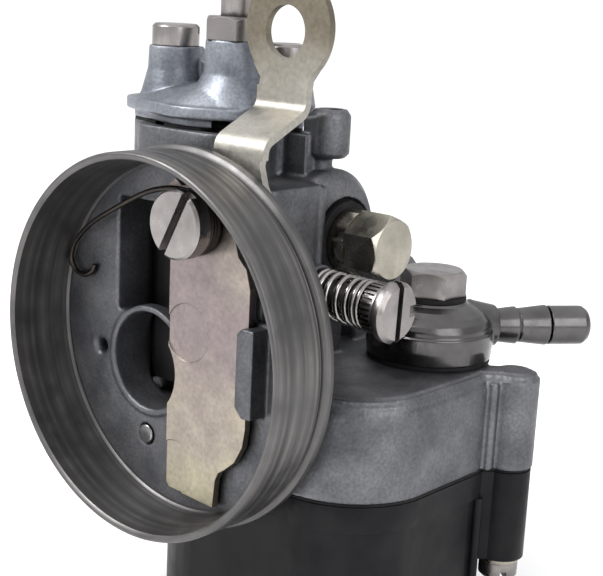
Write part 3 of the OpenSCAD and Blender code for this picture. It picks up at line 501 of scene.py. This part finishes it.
def add_choke_lever():
    lever = smooth_copy("choke_lever", "bent_choke_lever", 30)
    round_edges(lever, 0.35)
    return finish_piece(lever, "choke", "choke_lever")


def add_springs():
    for node, slot, material in (
        ("choke_spring", "dark_spring", "dark_spring"),
        ("idle_screw_spring", "spring_steel", "steel_spring"),
        ("throttle_spring", "spring_steel", "steel_spring"),
    ):
        finish_piece(smooth_copy(node, "smooth_" + node, 65), ROOT, material)


def add_choke_coil():
    """The close-wound coil behind the pivot screw's head, over the CAD spring's three turns."""
    curve = bpy.data.curves.new("choke_coil", "CURVE")
    curve.dimensions = "3D"
    curve.bevel_depth = COIL_WIRE_R * MM
    curve.bevel_resolution = 3
    spline = curve.splines.new("POLY")
    count = COIL_TURNS * COIL_STEPS
    spline.points.add(count)
    for k, point in enumerate(spline.points):
        angle = 2 * math.pi * k / COIL_STEPS
        depth = COIL_BACK - COIL_LENGTH * k / count
        at = (PIVOT_X + COIL_R * math.cos(angle), depth, PIVOT_Z + COIL_R * math.sin(angle))
        point.co = (*(c * MM for c in at), 1)
    coil = add_object("choke_coil", curve)
    mesh = bpy.data.meshes.new_from_object(coil)
    bpy.data.objects.remove(coil)
    piece = add_object("choke_coil", mesh)
    shade_smooth(mesh)
    return finish_piece(piece, ROOT, "dark_spring")


# ---- CAD nodes that are shown as they are ----

def finish_nodes():
    for name, (material, edge) in FINISHES.items():
        node = NODES[name]
        paint(node, material)
        round_edges(node, edge)


# ---- Camera, light and floor ----

CAMERA_AT = Vector((149.93, -134.69, 56.91)) * MM
CAMERA_TURN = (40.40, 14.03, 2.80)  # azimuth, elevation and roll, in degrees
CAMERA_LENS = 79.24
CAMERA_SHIFT = (-0.0036, 0.0461)


def make_camera():
    azimuth, elevation, roll = (math.radians(a) for a in CAMERA_TURN)
    back = Vector((
        math.sin(azimuth) * math.cos(elevation),
        -math.cos(azimuth) * math.cos(elevation),
        math.sin(elevation),
    ))
    right = Vector((math.cos(azimuth), math.sin(azimuth), 0))
    up = back.cross(right)
    rolled_right = math.cos(roll) * right + math.sin(roll) * up
    rolled_up = math.cos(roll) * up - math.sin(roll) * right
    data = bpy.data.cameras.new("camera")
    data.sensor_width = 36
    data.lens = CAMERA_LENS
    data.shift_x, data.shift_y = CAMERA_SHIFT
    data.clip_start = 0.01
    camera = add_object("camera", data)
    axes = Matrix((rolled_right, rolled_up, back)).transposed().to_4x4()
    camera.matrix_world = Matrix.Translation(CAMERA_AT) @ axes
    bpy.context.scene.camera = camera


def add_area_light(name, at, target, size, power):
    data = bpy.data.lights.new(name, "AREA")
    data.shape = "RECTANGLE"
    data.size, data.size_y = size
    data.energy = power
    light = add_object(name, data)
    light.location = at
    light.rotation_mode = "QUATERNION"
    light.rotation_quaternion = (Vector(target) - Vector(at)).to_track_quat("-Z", "Y")


def make_studio():
    """White at the horizon and overhead, dimmer between, like softboxes in a white room."""
    world = bpy.data.worlds.new("studio")
    world.use_nodes = True
    tree = world.node_tree
    background = tree.nodes["Background"]
    axes = tree.nodes.new("ShaderNodeSeparateXYZ")
    tree.links.new(tree.nodes.new("ShaderNodeTexCoord").outputs["Generated"], axes.inputs[0])
    sky = colour_ramp(tree, axes.outputs["Z"], [
        (0.0, (0.8, 0.8, 0.8)), (0.1, (0.8, 0.8, 0.8)), (0.24, (0.5, 0.5, 0.51)), (0.5, (0.6, 0.6, 0.62)),
        (0.8, (1, 1, 1)),
    ])
    tree.links.new(sky, background.inputs["Color"])
    background.inputs["Strength"].default_value = 1.4
    bpy.context.scene.world = world
    bpy.context.scene.view_settings.view_transform = "Standard"
    add_area_light("key", (-0.25, -0.35, 0.45), (0, 0.02, 0), (0.3, 0.3), 5)
    add_area_light("fill", (0.5, -0.1, 0.25), (0, 0.02, 0), (0.4, 0.4), 1.5)


def make_floor(level):
    mesh = bpy.data.meshes.new("floor")
    reach = 3
    corners = [(-reach, -reach, level), (reach, -reach, level), (reach, reach, level), (-reach, reach, level)]
    mesh.from_pydata(corners, [], [(0, 1, 2, 3)])
    floor = add_object("floor", mesh)
    material, tree, shader = new_material("floor", 0.7, metallic=0.0)
    shader.inputs["Base Color"].default_value = (0.9, 0.9, 0.9, 1)
    mesh.materials.append(material)


add_body()
add_filter_ring()
add_soft_casting("chamber_cap", "cap_casting", "cap_casting", 0.25, 6)
add_soft_casting("fuel_banjo", "inlet_cover", "inlet_cover", 0.16, 2)
add_choke_lever()
add_springs()
add_choke_coil()
finish_nodes()
make_camera()
make_studio()
make_floor(cad_box[0].z - 1 * MM)
